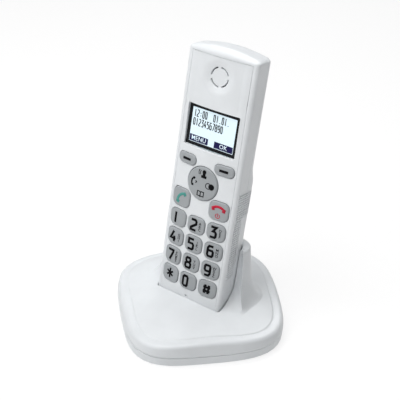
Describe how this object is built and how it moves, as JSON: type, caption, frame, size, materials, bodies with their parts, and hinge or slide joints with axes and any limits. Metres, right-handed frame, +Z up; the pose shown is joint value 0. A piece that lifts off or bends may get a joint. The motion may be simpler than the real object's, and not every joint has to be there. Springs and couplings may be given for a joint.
{
  "type": "cordless phone with base",
  "caption": "Cordless telephone handset with keypad and display, standing in a low soft-cornered charging base with a rear collar.",
  "frame": {"origin": "middle of the base's footprint, on the surface it stands on", "axes": "+Z up, the front of the phone faces -Y, +X to the right seen from the front"},
  "size_m": [0.1222, 0.1265, 0.184],
  "materials": {
    "handset_white": "fine satin",
    "base_white": "fine satin",
    "key_grey": "satin",
    "rubber_grey": "matt",
    "lens": "clear, black printed border",
    "lcd": "pale blue-white",
    "board": "satin green",
    "steel": "bright",
    "contact_metal": "gold flash",
    "black_plastic": "matt",
    "cell_wrap": "printed sleeve",
    "natural_plastic": "satin"
  },
  "bodies": {
    "base": {"base_top_shell": "base_white", "base_collar": "base_white", "base_tray": "base_white", "base_board": "board", "line_socket": "black_plastic", "power_socket": "black_plastic", "pin_carrier": "natural_plastic", "pin_springs": "steel", "base_feet": "rubber_grey", "base_screws": "steel"},
    "handset": {"handset_front_shell": "handset_white", "face_plate": "handset_white", "handset_rear_shell": "handset_white", "display_lens": "lens", "lcd_module": "lcd", "keypad_mat": "rubber_grey", "handset_board": "board", "rf_shield": "steel", "earpiece_speaker": "black_plastic", "ringer_speaker": "black_plastic", "microphone": "black_plastic", "battery_cells": "cell_wrap", "battery_contacts": "steel", "charge_strips": "contact_metal", "handset_screws": "steel"},
    "key_1_body": {"key_1": "key_grey"},
    "key_2_body": {"key_2": "key_grey"},
    "key_3_body": {"key_3": "key_grey"},
    "key_4_body": {"key_4": "key_grey"},
    "key_5_body": {"key_5": "key_grey"},
    "key_6_body": {"key_6": "key_grey"},
    "key_7_body": {"key_7": "key_grey"},
    "key_8_body": {"key_8": "key_grey"},
    "key_9_body": {"key_9": "key_grey"},
    "key_star_body": {"key_star": "key_grey"},
    "key_0_body": {"key_0": "key_grey"},
    "key_hash_body": {"key_hash": "key_grey"},
    "talk_key_body": {"talk_key": "key_grey"},
    "end_key_body": {"end_key": "key_grey"},
    "soft_key_left_body": {"soft_key_left": "key_grey"},
    "soft_key_right_body": {"soft_key_right": "key_grey"},
    "nav_cross": {"nav_pivot": "steel"},
    "nav_body": {"nav_pad": "key_grey"},
    "door_body": {"battery_door": "handset_white"},
    "pin_left_body": {"charge_pin_left": "contact_metal"},
    "pin_right_body": {"charge_pin_right": "contact_metal"},
    "page_body": {"page_key": "key_grey"}
  },
  "joints": [
    {"name": "handset_lift", "type": "slide", "parent": "base", "child": "handset", "axis": [0, 0.1865, 0.9825], "range_m": [0, 0.08]},
    {"name": "key_1_press", "type": "slide", "parent": "handset", "child": "key_1_body", "axis": [0, 0.9825, -0.1865], "range_m": [0, 0.0008], "stiffness_N_per_m": 600},
    {"name": "key_2_press", "type": "slide", "parent": "handset", "child": "key_2_body", "axis": [0, 0.9825, -0.1865], "range_m": [0, 0.0008], "stiffness_N_per_m": 600},
    {"name": "key_3_press", "type": "slide", "parent": "handset", "child": "key_3_body", "axis": [0, 0.9825, -0.1865], "range_m": [0, 0.0008], "stiffness_N_per_m": 600},
    {"name": "key_4_press", "type": "slide", "parent": "handset", "child": "key_4_body", "axis": [0, 0.9825, -0.1865], "range_m": [0, 0.0008], "stiffness_N_per_m": 600},
    {"name": "key_5_press", "type": "slide", "parent": "handset", "child": "key_5_body", "axis": [0, 0.9825, -0.1865], "range_m": [0, 0.0008], "stiffness_N_per_m": 600},
    {"name": "key_6_press", "type": "slide", "parent": "handset", "child": "key_6_body", "axis": [0, 0.9825, -0.1865], "range_m": [0, 0.0008], "stiffness_N_per_m": 600},
    {"name": "key_7_press", "type": "slide", "parent": "handset", "child": "key_7_body", "axis": [0, 0.9825, -0.1865], "range_m": [0, 0.0008], "stiffness_N_per_m": 600},
    {"name": "key_8_press", "type": "slide", "parent": "handset", "child": "key_8_body", "axis": [0, 0.9825, -0.1865], "range_m": [0, 0.0008], "stiffness_N_per_m": 600},
    {"name": "key_9_press", "type": "slide", "parent": "handset", "child": "key_9_body", "axis": [0, 0.9825, -0.1865], "range_m": [0, 0.0008], "stiffness_N_per_m": 600},
    {"name": "key_star_press", "type": "slide", "parent": "handset", "child": "key_star_body", "axis": [0, 0.9825, -0.1865], "range_m": [0, 0.0008], "stiffness_N_per_m": 600},
    {"name": "key_0_press", "type": "slide", "parent": "handset", "child": "key_0_body", "axis": [0, 0.9825, -0.1865], "range_m": [0, 0.0008], "stiffness_N_per_m": 600},
    {"name": "key_hash_press", "type": "slide", "parent": "handset", "child": "key_hash_body", "axis": [0, 0.9825, -0.1865], "range_m": [0, 0.0008], "stiffness_N_per_m": 600},
    {"name": "talk_key_press", "type": "slide", "parent": "handset", "child": "talk_key_body", "axis": [0, 0.9825, -0.1865], "range_m": [0, 0.0008], "stiffness_N_per_m": 600},
    {"name": "end_key_press", "type": "slide", "parent": "handset", "child": "end_key_body", "axis": [0, 0.9825, -0.1865], "range_m": [0, 0.0008], "stiffness_N_per_m": 600},
    {"name": "soft_key_left_press", "type": "slide", "parent": "handset", "child": "soft_key_left_body", "axis": [0, 0.9825, -0.1865], "range_m": [0, 0.0008], "stiffness_N_per_m": 600},
    {"name": "soft_key_right_press", "type": "slide", "parent": "handset", "child": "soft_key_right_body", "axis": [0, 0.9825, -0.1865], "range_m": [0, 0.0008], "stiffness_N_per_m": 600},
    {"name": "nav_tilt_sides", "type": "hinge", "parent": "handset", "child": "nav_cross", "pos_m": [0, 0.00249, 0.10025], "axis": [0, 0.1865, 0.9825], "range_deg": [-2.5, 2.5], "stiffness_Nm_per_rad": 0.6},
    {"name": "nav_tilt_ends", "type": "hinge", "parent": "nav_cross", "child": "nav_body", "pos_m": [0, 0.00249, 0.10025], "axis": [1, 0, 0], "range_deg": [-2.5, 2.5], "stiffness_Nm_per_rad": 0.6},
    {"name": "battery_door_slide", "type": "slide", "parent": "handset", "child": "door_body", "axis": [0, -0.1865, -0.9825], "range_m": [0, 0.003]},
    {"name": "charge_pin_left_press", "type": "slide", "parent": "base", "child": "pin_left_body", "axis": [0, -0.1865, -0.9825], "range_m": [0, 0.0008], "stiffness_N_per_m": 300},
    {"name": "charge_pin_right_press", "type": "slide", "parent": "base", "child": "pin_right_body", "axis": [0, -0.1865, -0.9825], "range_m": [0, 0.0008], "stiffness_N_per_m": 300},
    {"name": "page_key_press", "type": "slide", "parent": "base", "child": "page_body", "axis": [0, -1, 0], "range_m": [0, 0.0008], "stiffness_N_per_m": 600}
  ]
}
